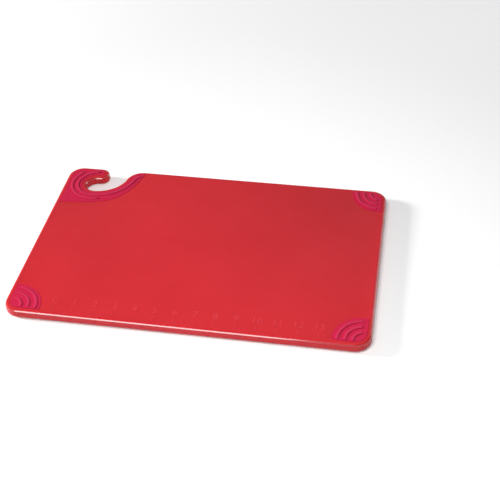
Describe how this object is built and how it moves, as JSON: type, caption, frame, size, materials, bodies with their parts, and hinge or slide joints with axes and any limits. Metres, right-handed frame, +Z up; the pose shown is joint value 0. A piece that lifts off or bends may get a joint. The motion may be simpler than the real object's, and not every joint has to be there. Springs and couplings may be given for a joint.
{
  "type": "cutting board",
  "caption": "Moulded plastic cutting board with a hanging hook in its rear left corner and soft ribbed anti-slip corner grips on both faces.",
  "frame": {"origin": "under the centre of the board, at the height of the lower rib crests that it rests on", "axes": "+X to the right along the longer side, +Y to the rear with the hook at the rear left, +Z up out of the work face"},
  "size_m": [0.4572, 0.3048, 0.0151],
  "materials": {
    "board_plastic": "satin moulded polypropylene, finely textured",
    "grip_rubber": "satin soft-touch thermoplastic rubber"
  },
  "bodies": {
    "root": {"board_body": "board_plastic", "grip_hook_corner": "grip_rubber", "grip_rear_right": "grip_rubber", "grip_front_left": "grip_rubber", "grip_front_right": "grip_rubber"}
  },
  "joints": []
}
